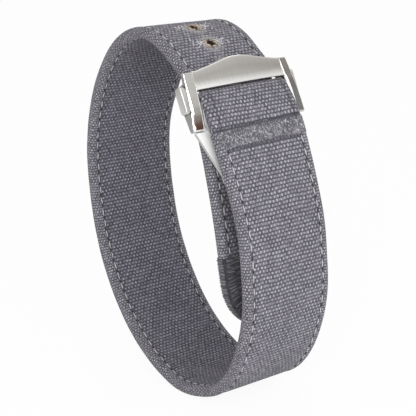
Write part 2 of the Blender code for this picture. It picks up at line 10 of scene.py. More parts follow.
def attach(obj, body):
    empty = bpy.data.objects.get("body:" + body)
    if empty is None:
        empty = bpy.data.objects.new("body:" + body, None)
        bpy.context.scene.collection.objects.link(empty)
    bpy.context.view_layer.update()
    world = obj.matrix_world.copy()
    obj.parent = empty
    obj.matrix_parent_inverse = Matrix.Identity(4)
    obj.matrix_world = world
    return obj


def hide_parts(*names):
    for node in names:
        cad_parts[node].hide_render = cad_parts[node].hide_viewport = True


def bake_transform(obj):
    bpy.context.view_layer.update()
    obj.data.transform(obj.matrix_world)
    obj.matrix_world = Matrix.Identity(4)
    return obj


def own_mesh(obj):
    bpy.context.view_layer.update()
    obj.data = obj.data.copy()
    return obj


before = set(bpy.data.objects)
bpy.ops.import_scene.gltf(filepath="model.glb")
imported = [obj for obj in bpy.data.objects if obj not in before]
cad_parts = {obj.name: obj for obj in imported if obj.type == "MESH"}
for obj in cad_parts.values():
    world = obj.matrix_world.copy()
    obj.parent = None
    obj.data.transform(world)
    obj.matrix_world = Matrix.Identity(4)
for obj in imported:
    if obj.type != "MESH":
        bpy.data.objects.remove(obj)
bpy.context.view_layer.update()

# Sizes of the strap and clasp, in metres
LOOP_WIDTH, LOOP_HEIGHT = 0.0504, 0.0696
STRAP_WIDTH, STRAP_THICK = 0.0200, 0.00215
CLASP_SLOPE = math.radians(63.0)
CLASP_PLACE = (0.3293 * LOOP_WIDTH / 2, 0.7930 * LOOP_HEIGHT / 2)
CLASP_LENGTH, FRAME_WIDTH, WALL = 0.0104, 0.0242, 0.0019
ARM_TOP, BRIDGE_LENGTH, BRIDGE_TOP = 0.0012, 0.0032, 0.0016
BUTTON_AT, BUTTON_RISE = 0.00445, -0.00045
TAIL_TOP, CLOSURE_OUTER = -0.0014, 0.00225
TACK_START, TACK_LENGTH = 0.0116, 0.0034
CREASES = (TACK_START - 0.0003, TACK_START + TACK_LENGTH)
TAIL_TIP, TAIL_RADIUS = 0.0148, STRAP_WIDTH / 2 + 0.00012
PEG_AT, HOLE_PITCH, HOLE_DIAMETER = 0.0100, 0.0056, 0.0025
STITCH_AT, STITCH_PITCH = STRAP_WIDTH / 2 - 0.0016, 0.00238
WEAVE, PICK_SHARE = 0.00071, 0.57
STEP = 0.0005

# Along the clasp: where the closing end starts, and where its bend starts and stops
SPLIT_AT, BEND_FROM, BEND_TO = 0.034, 0.0262, 0.0152

# How high the doubled webbing's far edge stands, at places before its end
LIFT_PLACES = (-0.020, -0.014, -0.010, -0.0045, 0.0)
LIFTS = (0.0, 0.00025, 0.00060, 0.00115, 0.00135)

# Where the strap's far edge sinks: how deep, at which run, and how wide
SINKS = ((0.0006, 0.0655, 0.0055), (0.0010, 0.0868, 0.0065))

# The strap's outer line, in shares of the loop's half width and half height
OVER_SHARES = (
    (0.278, 0.794), (0.191, 0.842), (0.083, 0.897), (-0.055, 0.948), (-0.226, 0.980),
    (-0.411, 0.957), (-0.590, 0.885), (-0.762, 0.749), (-0.884, 0.596), (-0.968, 0.417),
    (-1.010, 0.204), (-0.991, -0.019), (-0.938, -0.218), (-0.845, -0.418),
    (-0.709, -0.598), (-0.535, -0.757), (-0.308, -0.894), (-0.075, -0.979),
    (0.170, -1.020), (0.428, -0.991), (0.646, -0.918), (0.805, -0.794),
    (0.909, -0.641), (0.972, -0.472), (0.988, -0.316), (0.972, -0.184),
)
TAIL_SHARES = ((0.795, -0.553), (0.786, -0.421), (0.759, -0.274), (0.717, -0.138), (0.660, 0.051))


# Places: along and out in the clasp's own frame, or along the strap's one path
def clasp_point(along, out):
    c, s = math.cos(CLASP_SLOPE), math.sin(CLASP_SLOPE)
    return (CLASP_PLACE[0] + along * c + out * s, CLASP_PLACE[1] - along * s + out * c)


def clasp_matrix(along, across, out):
    x, z = clasp_point(along, out)
    return Matrix.Translation((x, across, z)) @ Matrix.Rotation(CLASP_SLOPE, 4, "Y")


def smooth(points, step):
    p = np.array(points, float)
    t = np.concatenate([[0], np.cumsum(np.linalg.norm(np.diff(p, axis=0), axis=1))])
    n = len(p)
    system, right = np.eye(n), np.zeros((n, 2))
    for i in range(1, n - 1):
        before, after = t[i] - t[i - 1], t[i + 1] - t[i]
        system[i, i - 1 : i + 2] = before, 2 * (before + after), after
        right[i] = 6 * ((p[i + 1] - p[i]) / after - (p[i] - p[i - 1]) / before)
    bend = np.linalg.solve(system, right)
    result = []
    for value in np.linspace(0, t[-1], max(2, round(t[-1] / step)) + 1):
        i = min(max(np.searchsorted(t, value) - 1, 0), n - 2)
        width = t[i + 1] - t[i]
        a, b = (t[i + 1] - value) / width, (value - t[i]) / width
        curve = (a**3 - a) * bend[i] + (b**3 - b) * bend[i + 1]
        result.append(a * p[i] + b * p[i + 1] + curve * width**2 / 6)
    return np.array(result)


def runs(path):
    return np.concatenate([[0], np.cumsum(np.linalg.norm(np.diff(path, axis=0), axis=1))])


def normals(path):
    step = np.gradient(path, axis=0)
    step /= np.linalg.norm(step, axis=1)[:, None]
    return np.column_stack([step[:, 1], -step[:, 0]])


shares = [(x * LOOP_WIDTH / 2, z * LOOP_HEIGHT / 2) for x, z in TAIL_SHARES]
shares.append(clasp_point(CLASP_LENGTH + 0.0066, TAIL_TOP - 0.0009))
shares += [clasp_point(s, TAIL_TOP) for s in (CLASP_LENGTH, CLASP_LENGTH * 0.65, BRIDGE_LENGTH)]
shares += [(x * LOOP_WIDTH / 2, z * LOOP_HEIGHT / 2) for x, z in OVER_SHARES]
for share, lift in ((3.05, -12.0), (2.4, -2.0), (2.0, 0.0), (1.5, 0.0)):
    shares.append(clasp_point(CLASP_LENGTH * share, CLOSURE_OUTER + 0.0001 * lift))
shares.append(clasp_point(TACK_START, CLOSURE_OUTER))
strap_path = smooth(shares, STEP)
strap_run = runs(strap_path)
strap_out = normals(strap_path)
path_end = strap_run[-1]


def far_sink(run, share):
    return share * sum(deep * math.exp(-(((run - at) / wide) ** 2)) for deep, at, wide in SINKS)


def strap_spot(run, depth=0.0, across=0.0):
    depth += far_sink(run, 0.5 + across / STRAP_WIDTH)
    x = np.interp(run, strap_run, strap_path[:, 0])
    z = np.interp(run, strap_run, strap_path[:, 1])
    nx = np.interp(run, strap_run, strap_out[:, 0])
    nz = np.interp(run, strap_run, strap_out[:, 1])
    size = math.hypot(nx, nz)
    nx, nz = nx / size, nz / size
    return Vector((x - nx * depth, across, z - nz * depth)), Vector((nx, 0, nz)), Vector((-nz, 0, nx))


def nearest_run(along, out, first, last):
    goal = np.array(clasp_point(along, out))
    tried = np.linspace(first, last, 3000)
    spots = np.column_stack([np.interp(tried, strap_run, strap_path[:, i]) for i in (0, 1)])
    return float(tried[np.argmin(np.linalg.norm(spots - goal, axis=1))])


# The doubled webbing beside the clasp lies a little askew: its far edge stands higher
def closing_lift(run, across):
    most = float(np.interp(run - path_end, LIFT_PLACES, LIFTS))
    return most * (0.5 + across / STRAP_WIDTH)


peg_run = nearest_run(PEG_AT, TAIL_TOP, 0, path_end / 2)
split_run = nearest_run(SPLIT_AT, 0.0008, path_end / 2, path_end)


# Node building, for materials and for the surroundings
class Nodes:
    def __init__(self, tree):
        self.tree = tree

    def node(self, kind, **settings):
        made = self.tree.nodes.new(kind)
        for key, value in settings.items():
            setattr(made, key, value)
        return made

    # A socket takes a number, a colour or another node's output
    def put(self, value, socket):
        if isinstance(value, (int, float)):
            socket.default_value = value
        elif isinstance(value, tuple):
            socket.default_value = (*value, 1)
        else:
            self.tree.links.new(value, socket)

    def math(self, operation, *values):
        made = self.node("ShaderNodeMath", operation=operation)
        for slot, value in enumerate(values):
            self.put(value, made.inputs[slot])
        return made.outputs[0]

    def split(self, source):
        made = self.node("ShaderNodeSeparateXYZ")
        self.put(source, made.inputs[0])
        return made.outputs

    def ramp(self, source, stops):
        made = self.node("ShaderNodeValToRGB")
        elements = made.color_ramp.elements
        while len(elements) < len(stops):
            elements.new(0.5)
        for element, (place, colour) in zip(elements, stops):
            element.position, element.color = place, (*colour, 1)
        self.put(source, made.inputs[0])
        return made.outputs[0]

    def mix(self, factor, a, b, kind="MIX"):
        made = self.node("ShaderNodeMix", data_type="RGBA", blend_type=kind)
        for slot, value in ((0, factor), (6, a), (7, b)):
            self.put(value, made.inputs[slot])
        return made.outputs[2]

    def range(self, source, low, high, new_low=0.0, new_high=1.0):
        made = self.node("ShaderNodeMapRange", clamp=True)
        for slot, value in enumerate((source, low, high, new_low, new_high)):
            self.put(value, made.inputs[slot])
        return made.outputs[0]


class Paint(Nodes):
    def __init__(self, name):
        self.material = bpy.data.materials.new(name)
        self.material.use_nodes = True
        super().__init__(self.material.node_tree)
        self.shader = self.tree.nodes["Principled BSDF"]
        self.place = self.node("ShaderNodeTexCoord").outputs["Object"]

    def noise(self, scale, detail=3.0, rough=0.5, vector=None, stretch=None, result="Fac"):
        made = self.node("ShaderNodeTexNoise")
        for label, value in (("Scale", scale), ("Detail", detail), ("Roughness", rough)):
            made.inputs[label].default_value = value
        source = vector or self.place
        if stretch:
            mapping = self.node("ShaderNodeMapping")
            mapping.inputs["Scale"].default_value = stretch
            self.put(source, mapping.inputs["Vector"])
            source = mapping.outputs[0]
        self.put(source, made.inputs["Vector"])
        return made.outputs[result]

    # How far the shaded point lies along the clasp, and how far out from it
    def clasp_axes(self):
        spot = self.split(self.place)
        c, n = math.cos(CLASP_SLOPE), math.sin(CLASP_SLOPE)
        east = self.math("SUBTRACT", spot[0], CLASP_PLACE[0])
        north = self.math("SUBTRACT", spot[2], CLASP_PLACE[1])
        along = self.math("SUBTRACT", self.math("MULTIPLY", east, c), self.math("MULTIPLY", north, n))
        return along, self.math("ADD", self.math("MULTIPLY", east, n), self.math("MULTIPLY", north, c))

    def bump(self, height, strength, distance):
        made = self.node("ShaderNodeBump")
        for label, value in (("Strength", strength), ("Distance", distance), ("Height", height)):
            self.put(value, made.inputs[label])
        self.put(made.outputs[0], self.shader.inputs["Normal"])

    def set(self, **values):
        names = {"colour": "Base Color", "rough": "Roughness", "metal": "Metallic", "sheen": "Sheen Weight"}
        names |= {"sheen_rough": "Sheen Roughness", "specular": "Specular IOR Level"}
        for key, value in values.items():
            self.put(value, self.shader.inputs[names[key]])


def shade(colour, share):
    return tuple(c * share for c in colour)


# Plain-woven canvas: U runs along the strap and V across it, both in metres
def woven_canvas(name, pale, deep, pitch=WEAVE, holes=(), creases=()):
    paint = Paint(name)
    uv = place = paint.node("ShaderNodeUVMap", uv_map="cloth").outputs[0]
    for scale, reach in ((210, (0.0005, 0.0004, 0)), (1050, (0.00030, 0.00024, 0))):
        shift = paint.node("ShaderNodeVectorMath", operation="MULTIPLY_ADD")
        shift.inputs[1].default_value = reach
        paint.put(paint.noise(scale, 2, 0.5, uv, result="Color"), shift.inputs[0])
        paint.put(place, shift.inputs[2])
        place = shift.outputs[0]
    shifted = paint.split(place)
    rows = paint.math("DIVIDE", shifted[0], pitch)
    picks = paint.math("DIVIDE", shifted[1], pitch * PICK_SHARE)
    wave_u = paint.math("ABSOLUTE", paint.math("SINE", paint.math("MULTIPLY", rows, math.pi)))
    wave_v = paint.math("ABSOLUTE", paint.math("SINE", paint.math("MULTIPLY", picks, math.pi)))
    row_number, pick_number = paint.math("FLOOR", rows), paint.math("FLOOR", picks)
    cell = paint.node("ShaderNodeCombineXYZ")
    paint.put(row_number, cell.inputs[0])
    paint.put(pick_number, cell.inputs[1])
    chance = paint.node("ShaderNodeTexWhiteNoise", noise_dimensions="2D")
    paint.put(cell.outputs[0], chance.inputs["Vector"])
    luck = chance.outputs["Value"]
    parity = paint.math("FLOORED_MODULO", paint.math("ADD", row_number, pick_number), 2.0)
    crown = paint.math("POWER", wave_u, 0.95)
    crown = paint.math("MULTIPLY", crown, paint.math("MULTIPLY_ADD", wave_v, 0.60, 0.40))
    fibre = paint.noise(6400, 2, 0.65, uv)
    height = paint.math("MULTIPLY", crown, paint.math("MULTIPLY_ADD", parity, 0.45, 0.55))
    height = paint.math("MULTIPLY_ADD", fibre, 0.30, height)
    # Painted shade and highlight: each yarn darkens towards the gaps beside it and is lighter on its crown
    gap = shade(deep, 0.18)
    under = paint.mix(1.0, deep, paint.math("MULTIPLY_ADD", luck, 0.9, 0.55), "MULTIPLY")
    under = paint.mix(paint.range(crown, 0.10, 0.55), gap, under)
    top = paint.mix(1.0, pale, paint.math("MULTIPLY_ADD", luck, 0.55, 0.60), "MULTIPLY")
    over = paint.mix(paint.range(crown, 0.22, 0.80), shade(deep, 0.5), top)
    yarn = paint.mix(parity, under, over)
    yarn = paint.mix(paint.range(fibre, 0.30, 0.62, 0.42, 0.0), yarn, gap)
    # Dust, dark specks and uneven patches
    dust = paint.noise(2300, 3, 0.7, uv)
    yarn = paint.mix(paint.range(dust, 0.60, 0.72, 0.0, 0.55), yarn, (0.36, 0.35, 0.38))
    specks = paint.range(paint.noise(3300, 2, 0.6, uv), 0.60, 0.68, 0.0, 0.5)
    yarn = paint.mix(specks, yarn, gap)
    patches = paint.range(paint.noise(190, 4, 0.65), 0.3, 0.7, 0.90, 1.08)
    yarn = paint.mix(1.0, yarn, patches, "MULTIPLY")
    # Shade along both rows of stitches
    off = paint.math("SUBTRACT", paint.math("ABSOLUTE", paint.split(paint.place)[1]), STITCH_AT)
    off = paint.math("MULTIPLY_ADD", paint.noise(1100, 2, 0.6), 0.00022, paint.math("ABSOLUTE", off))
    yarn = paint.mix(paint.range(off, 0.00052, 0.00020, 0.0, 0.62), yarn, shade(deep, 0.2))
    # Painted shade in the two creases across the sewn band
    if creases:
        along, out = paint.clasp_axes()
        along = paint.math("MULTIPLY_ADD", paint.noise(900, 2, 0.6), 0.0005, along)
        for spot in creases:
            near = paint.math("ABSOLUTE", paint.math("SUBTRACT", along, spot + 0.00025))
            dark = paint.range(near, 0.00062, 0.00012, 0.0, 0.72)
            dark = paint.math("MULTIPLY", dark, paint.range(out, 0.0014, 0.0018))
            yarn = paint.mix(dark, yarn, shade(deep, 0.22))
    # Each hole has a pale frayed ring round a scorched one
    for spot in holes:
        far = paint.node("ShaderNodeVectorMath", operation="DISTANCE")
        far.inputs[1].default_value = spot
        paint.put(paint.place, far.inputs[0])
        fuzz = paint.math("MULTIPLY_ADD", paint.noise(1300, 4, 0.8), 0.0026, far.outputs["Value"])
        pale_near = paint.range(fuzz, 0.0042, 0.0028, 0.0, 0.75)
        pale_near = paint.math("MULTIPLY", pale_near, paint.range(dust, 0.40, 0.56))
        yarn = paint.mix(pale_near, yarn, (0.42, 0.40, 0.40))
        yarn = paint.mix(paint.range(fuzz, 0.00275, 0.00235, 0.0, 0.8), yarn, (0.050, 0.036, 0.030))
    paint.set(colour=yarn, rough=0.95, sheen=0.12, sheen_rough=0.6, specular=0.15)
    paint.bump(height, 0.85, 0.00018)
    return paint.material


# A finish whose tone follows one fine noise
def toned(name, grain, stops, bump=None, **finish):
    paint = Paint(name)
    tone = paint.noise(*grain)
    paint.set(colour=paint.ramp(tone, stops), **finish)
    if bump:
        paint.bump(tone, *bump)
    return paint.material


def sewing_thread(name, base):
    stops = ((0.3, shade(base, 0.72)), (0.7, base))
    return toned(name, (4200, 2, 0.6), stops, (0.5, 0.00005), rough=0.8, sheen=0.2, specular=0.3)


# Satin steel, brushed along one way; a polished finish has little streak
def steel(name, base, rough, stretch, streak, bump, lip=False):
    paint = Paint(name)
    lines = paint.noise(1.0, 5, 0.65, None, stretch)
    colour = paint.mix(1.0, base, paint.range(lines, 0.3, 0.7, 1 - streak, 1.0), "MULTIPLY")
    # Painted highlight: the colour turns near white towards the bridge's lower lip
    if lip:
        along = paint.math("MULTIPLY_ADD", lines, 0.0006, paint.clasp_axes()[0])
        colour = paint.mix(paint.range(along, 0.0020, 0.0032), colour, (0.93, 0.925, 0.91))
    roughness = paint.math("MULTIPLY_ADD", lines, 0.16, rough - 0.08)
    roughness = paint.math("MULTIPLY_ADD", paint.noise(180, 3, 0.5), 0.06, roughness)
    paint.set(colour=colour, rough=roughness, metal=1.0)
    paint.bump(lines, bump, 0.00002)
    return paint.material


hole_spots = [strap_spot(peg_run + k * HOLE_PITCH) for k in range(-1, 5)]
shown_holes = [tuple(spot) for spot, _, _ in hole_spots[2:]]
PALE, DEEP = (0.405, 0.388, 0.435), (0.143, 0.137, 0.167)
canvas = woven_canvas("grey nylon canvas", PALE, DEEP, holes=shown_holes)
band_canvas = woven_canvas("canvas at the sewn band", PALE, DEEP, creases=CREASES)
# The lining's canvas is a little darker than the outer one: painted shade on the strap's inner face
shaded_lining_canvas = woven_canvas("lining canvas darkened as painted shade", (0.33, 0.315, 0.365), (0.112, 0.107, 0.137))
edge_roll = woven_canvas("rolled canvas edge", (0.43, 0.412, 0.455), (0.158, 0.151, 0.181), WEAVE * 0.78)
pale_thread_and_highlight = sewing_thread("pale sewing thread, also painted highlight on the band", (0.50, 0.49, 0.52))
tack_thread = sewing_thread("cross band thread", (0.24, 0.233, 0.26))
tack_shade = sewing_thread("painted shade among the cross band threads", (0.078, 0.074, 0.090))
needle_dark = sewing_thread("shade at the needle holes", (0.016, 0.015, 0.019))
whip_thread = sewing_thread("whipping thread", (0.062, 0.059, 0.072))
whip_pale = sewing_thread("paler whipping thread", (0.20, 0.195, 0.21))
golden_fibre = sewing_thread("scorched fibre", (0.52, 0.42, 0.30))
white_fibre = sewing_thread("frayed pale fibre", (0.62, 0.61, 0.63))
arm_steel = steel("arm steel", (0.64, 0.625, 0.60), 0.10, (260, 260, 260), 0.06, 0.02)
satin_steel = steel("satin steel", (0.62, 0.605, 0.58), 0.36, (260, 5200, 260), 0.12, 0.07, lip=True)
side_steel = steel("satin steel of the sides", (0.52, 0.51, 0.50), 0.38, (5200, 260, 5200), 0.2, 0.12)
button_steel = steel("button steel", (0.72, 0.715, 0.70), 0.46, (5200, 260, 5200), 0.1, 0.06)
# The spring bar and its coil spring are painted dark as shade
shaded_bar_steel = steel("spring bar steel painted dark as shade", (0.30, 0.295, 0.29), 0.45, (900, 900, 900), 0.1, 0.05)
polished = steel("polished steel", (0.80, 0.79, 0.77), 0.12, (900, 900, 900), 0.04, 0.03)
# Blade steel: faces turned across the strap are painted near white as a highlight, the rest grey
blade = Paint("blade steel")
facing = blade.split(blade.node("ShaderNodeNewGeometry").outputs["Normal"])
highlight_share = blade.range(blade.math("ABSOLUTE", facing[1]), 0.2, 0.35)
blade.set(colour=blade.mix(highlight_share, (0.93, 0.93, 0.92), (0.42, 0.415, 0.41)), metal=0.35, rough=0.42)
# Painted highlight: a near-white steel laid on the arms' inner bevel
bright = Paint("inner bevel steel painted white as highlight")
bright.set(colour=(0.95, 0.95, 0.94), metal=0.30, rough=0.35)
blade_steel, bevel_highlight_steel = blade.material, bright.material
melted_stops = ((0.44, (0.012, 0.009, 0.008)), (0.58, (0.050, 0.032, 0.022)), (0.70, (0.36, 0.26, 0.15)))
melted = toned("melted nylon rim", (2600, 4, 0.7), melted_stops, (0.7, 0.00012), rough=0.6)
scorched_stops = ((0.44, (0.030, 0.024, 0.020)), (0.54, (0.17, 0.13, 0.105)), (0.64, (0.58, 0.54, 0.48)))
scorched = toned("scorched fibre rim", (1900, 4, 0.8), scorched_stops, rough=0.8)
whip_stops = ((0.3, (0.018, 0.017, 0.022)), (0.7, (0.060, 0.057, 0.070)))
whip_canvas = toned(
    "whipped tail thread", (1.0, 4, 0.6, None, (900, 5200, 900)), whip_stops, (0.8, 0.00015),
    rough=0.95, sheen=0.15, specular=0.2,
)


# Mesh helpers
def linked(name, data):
    made = bpy.data.objects.new(name, data)
    bpy.context.scene.collection.objects.link(made)
    return made


def new_piece(name, verts, faces, materials, smooth_all=True):
    mesh = bpy.data.meshes.new(name)
    mesh.from_pydata([tuple(v) for v in verts], [], faces)
    mesh.validate()
    for item in materials:
        mesh.materials.append(item)
    if smooth_all:
        mesh.shade_smooth()
    return linked(name, mesh)


# The sides of a row of rings with n points each, then its two ends
def tube(rings, n):
    faces = []
    for i in range(rings - 1):
        for j in range(n):
            k = (j + 1) % n
            faces.append((i * n + j, i * n + k, (i + 1) * n + k, (i + 1) * n + j))
    return faces + [tuple(range(n))[::-1], tuple(range((rings - 1) * n, rings * n))]


def outwards(made, weld=False):
    work = bmesh.new()
    work.from_mesh(made.data)
    if weld:
        bmesh.ops.remove_doubles(work, verts=work.verts, dist=1e-7)
    bmesh.ops.recalc_face_normals(work, faces=work.faces)
    work.to_mesh(made.data)
    work.free()


def sharpen(made, degrees):
    made.data.set_sharp_from_angle(angle=math.radians(degrees))


def cut_with(target, cutter):
    step = target.modifiers.new("cut", "BOOLEAN")
    step.operation, step.solver, step.object = "DIFFERENCE", "EXACT", cutter
    return step


# Works a piece's modifiers and its place into its mesh
def finish_piece(made):
    bpy.context.view_layer.update()
    shape = made.evaluated_get(bpy.context.evaluated_depsgraph_get())
    mesh = bpy.data.meshes.new_from_object(shape)
    mesh.transform(made.matrix_world)
    name = made.name
    bpy.data.objects.remove(made, do_unlink=True)
    return linked(name, mesh)


# Cloth coordinates in metres: along a tube and round its section, then those of its flat ends
def lay_cloth(made, stations, section, ends):
    around = runs(np.array(section + section[:1]))
    uvs = []
    for u0, u1 in zip(stations, stations[1:]):
        for v0, v1 in zip(around, around[1:]):
            uvs += [(u0, v0), (u0, v1), (u1, v1), (u1, v0)]
    layer = made.data.uv_layers.new(name="cloth")
    layer.data.foreach_set("uv", np.array(uvs + ends, np.float32).ravel())


# Half of the webbing's section in millimetres: how far from the middle, and how deep
SECTION = [
    (0.0, 0.00), (1.4, 0.00), (2.8, 0.00), (4.2, 0.00), (5.6, 0.01), (6.8, 0.02), (7.6, 0.05),
    (8.05, 0.11), (8.35, 0.17), (8.6, 0.12), (8.85, 0.02), (9.15, -0.03), (9.45, 0.02), (9.72, 0.16),
    (9.90, 0.40), (9.98, 0.72), (10.0, 1.075),
]
ROLL_FROM, WEBBING_SHAKE = 0.0085, 0.00003


def section_ring():
    half = [(a / 1000, d / 1000) for a, d in SECTION]
    right = half + [(a, STRAP_THICK - d) for a, d in half[:-1]][::-1]
    return right + [(-a, d) for a, d in right[1:-1]][::-1]


def loft_webbing(name, start, end, materials, lift_at=None):
    ring = section_ring()
    count = max(2, round((end - start) / STEP))
    stations = np.linspace(start, end, count + 1)
    verts, slots = [], []
    for run in stations:
        spot, out, _ = strap_spot(run)
        for a, d in ring:
            wobble = noise.noise(Vector((run * 260, a * 420, d * 900))) * WEBBING_SHAKE
            lift = lift_at(run, a) if lift_at else 0.0
            depth = d + wobble - lift * (1 - d / STRAP_THICK) + far_sink(run, a / STRAP_WIDTH)
            verts.append(spot - out * depth + Vector((0, a + wobble * 0.6, 0)))
    for (a0, d0), (a1, d1) in zip(ring, ring[1:] + ring[:1]):
        rolled = abs(a0) + abs(a1) > 2 * ROLL_FROM
        slots.append(2 if rolled else (0 if d0 + d1 < STRAP_THICK else 1))
    made = new_piece(name, verts, tube(count + 1, len(ring)), materials)
    lay_cloth(made, stations, ring, [(run, a) for run in (start, end) for a, _ in ring])
    made.data.polygons.foreach_set("material_index", slots * count + [1, 1])
    outwards(made)
    sharpen(made, 60)
    return made


BEAD_SIZES = ("Width", "Height", "Length")


# Small beads laid on points that carry a direction, an outward normal and a size
def bead_tree(name, segments, rings):
    tree = bpy.data.node_groups.new(name, "GeometryNodeTree")
    add, join = tree.nodes.new, tree.links.new
    sizes = [(label, "Float") for label in BEAD_SIZES]
    for label, kind in [("Geometry", "Geometry"), *sizes, ("Finish", "Material")]:
        tree.interface.new_socket(label, in_out="INPUT", socket_type="NodeSocket" + kind)
    tree.interface.new_socket("Geometry", in_out="OUTPUT", socket_type="NodeSocketGeometry")
    entry, leave = add("NodeGroupInput"), add("NodeGroupOutput")
    bead = add("GeometryNodeMeshUVSphere")
    for label, value in (("Segments", segments), ("Rings", rings), ("Radius", 0.5)):
        bead.inputs[label].default_value = value
    size = add("ShaderNodeCombineXYZ")
    for axis, label in zip("XYZ", BEAD_SIZES):
        join(entry.outputs[label], size.inputs[axis])
    carried = {}
    for label, kind in (("ahead", "FLOAT_VECTOR"), ("out", "FLOAT_VECTOR"), ("grow", "FLOAT")):
        carried[label] = add("GeometryNodeInputNamedAttribute")
        carried[label].data_type = kind
        carried[label].inputs["Name"].default_value = label
    first, second = add("FunctionNodeAlignRotationToVector"), add("FunctionNodeAlignRotationToVector")
    first.axis, second.axis, second.pivot_axis = "Z", "Y", "Z"
    join(carried["ahead"].outputs["Attribute"], first.inputs["Vector"])
    join(first.outputs[0], second.inputs["Rotation"])
    join(carried["out"].outputs["Attribute"], second.inputs["Vector"])
    scaled = add("ShaderNodeVectorMath")
    scaled.operation = "SCALE"
    join(size.outputs[0], scaled.inputs[0])
    join(carried["grow"].outputs["Attribute"], scaled.inputs["Scale"])
    last = add("GeometryNodeInstanceOnPoints")
    join(entry.outputs["Geometry"], last.inputs["Points"])
    join(bead.outputs["Mesh"], last.inputs["Instance"])
    join(second.outputs[0], last.inputs["Rotation"])
    join(scaled.outputs[0], last.inputs["Scale"])
    for kind in ("RealizeInstances", "SetShadeSmooth", "SetMaterial"):
        step = add("GeometryNode" + kind)
        join(last.outputs[0], step.inputs[0])
        last = step
    join(entry.outputs["Finish"], last.inputs["Material"])
    join(last.outputs[0], leave.inputs[0])
    return tree


stitch_tree = bead_tree("Laid stitches", segments=8, rings=6)


def lay(name, spots, sizes, finish):
    mesh = bpy.data.meshes.new(name)
    mesh.from_pydata([tuple(s[0]) for s in spots], [], [])
    for label, slot in (("ahead", 1), ("out", 2)):
        layer = mesh.attributes.new(label, "FLOAT_VECTOR", "POINT")
        layer.data.foreach_set("vector", np.array([tuple(s[slot]) for s in spots], np.float32).ravel())
    layer = mesh.attributes.new("grow", "FLOAT", "POINT")
    layer.data.foreach_set("value", np.array([s[3] for s in spots], np.float32))
    made = linked(name, mesh)
    modifier = made.modifiers.new("laid", "NODES")
    modifier.node_group = stitch_tree
    inputs = [item for item in stitch_tree.interface.items_tree if item.in_out == "INPUT"]
    keys = {item.name: item.identifier for item in inputs}
    for label, value in zip(BEAD_SIZES, sizes):
        modifier[keys[label]] = value
    modifier[keys["Finish"]] = finish
    return finish_piece(made)


def line_of_stitches(first, last, across, face_depth, outward, seed, lift_at=None):
    dice = random.Random(seed)
    spots, pricks, run = [], [], first
    while run < last:
        jitter = dice.uniform(-0.00012, 0.00012)
        lift = lift_at(run, across) if lift_at and outward else 0.0
        spot, out, ahead = strap_spot(run, face_depth - lift, across + dice.uniform(-0.00007, 0.00007))
        facing = out if outward else -out
        ahead = (ahead + Vector((0, dice.uniform(-0.07, 0.07), 0))).normalized()
        spots.append((spot, ahead, facing, dice.uniform(0.9, 1.08)))
        spot, out, ahead = strap_spot(run + STITCH_PITCH / 2, face_depth - lift, across)
        pricks.append((spot, ahead, facing, dice.uniform(0.7, 1.2)))
        run += STITCH_PITCH + jitter
    return spots, pricks


# The webbing, from the bound tail round to the fold, and on to the sewn band
webbing = loft_webbing("strap_webbing", TAIL_TIP - 0.0004, split_run, [canvas, shaded_lining_canvas, edge_roll])
HOLE_AROUND, RIM_SIDES = 48, 8


def hole_reach(index, step):
    a = 2 * math.pi * step / HOLE_AROUND
    slow = noise.noise(Vector((math.cos(a) * 1.1, math.sin(a) * 1.1, index * 4.0)))
    fast = noise.noise(Vector((math.cos(a) * 3.4, math.sin(a) * 3.4, index * 4.0 + 40)))
    return HOLE_DIAMETER / 2 * ((0.93 if index == 1 else 0.72) + 0.16 * slow + 0.14 * fast)


for index, (spot, out, ahead) in enumerate(hole_spots):
    side, verts = out.cross(ahead), []
    for depth in (-STRAP_THICK, 2 * STRAP_THICK):
        for k in range(HOLE_AROUND):
            a = 2 * math.pi * k / HOLE_AROUND
            spread = ahead * math.cos(a) + side * math.sin(a)
            verts.append(spot - out * depth + spread * hole_reach(index, k))
    punch = new_piece("punch_%d" % index, verts, tube(2, HOLE_AROUND), [melted], smooth_all=False)
    outwards(punch, weld=True)
    cut_with(webbing, punch).material_mode = "TRANSFER"
punches = [step.object for step in webbing.modifiers]
webbing = finish_piece(webbing)
for punch in punches:
    bpy.data.objects.remove(punch, do_unlink=True)
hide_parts("strap_cover", "strap_core", "strap_lining")
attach(webbing, "strap")

closing_finishes = [band_canvas, shaded_lining_canvas, edge_roll]
closing = loft_webbing("closing_webbing", split_run, path_end, closing_finishes, closing_lift)


# Soft, slightly uneven rims of melted nylon at the holes
def hole_rim(name, spot, out, ahead, index, seed):
    dice = random.Random(seed)
    side, verts, faces = out.cross(ahead), [], []
    wide = [dice.uniform(0.5, 1.2) for _ in range(HOLE_AROUND)]
    for i in range(HOLE_AROUND):
        a = 2 * math.pi * i / HOLE_AROUND
        spread = ahead * math.cos(a) + side * math.sin(a)
        start, after = i * RIM_SIDES, (i + 1) % HOLE_AROUND * RIM_SIDES
        for j in range(RIM_SIDES):
            b = 2 * math.pi * j / RIM_SIDES
            reach = hole_reach(index, i) + 0.00013 * math.cos(b) * wide[i]
            verts.append(spot + spread * reach + out * (0.00011 * math.sin(b) * wide[i]))
            m = (j + 1) % RIM_SIDES
            faces.append((start + j, after + j, after + m, start + m))
    made = new_piece(name, verts, faces, [scorched])
    outwards(made, weld=True)
    return made


for index, (spot, out, ahead) in enumerate(hole_spots):
    for word, depth in (("outer", 0.00002), ("inner", STRAP_THICK - 0.00002)):
        place, seed = spot - out * depth, index * 7 + len(word)
        rim = hole_rim("hole_rim_%s_%d" % (word, index), place, out, ahead, index, seed)
        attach(rim, "strap")


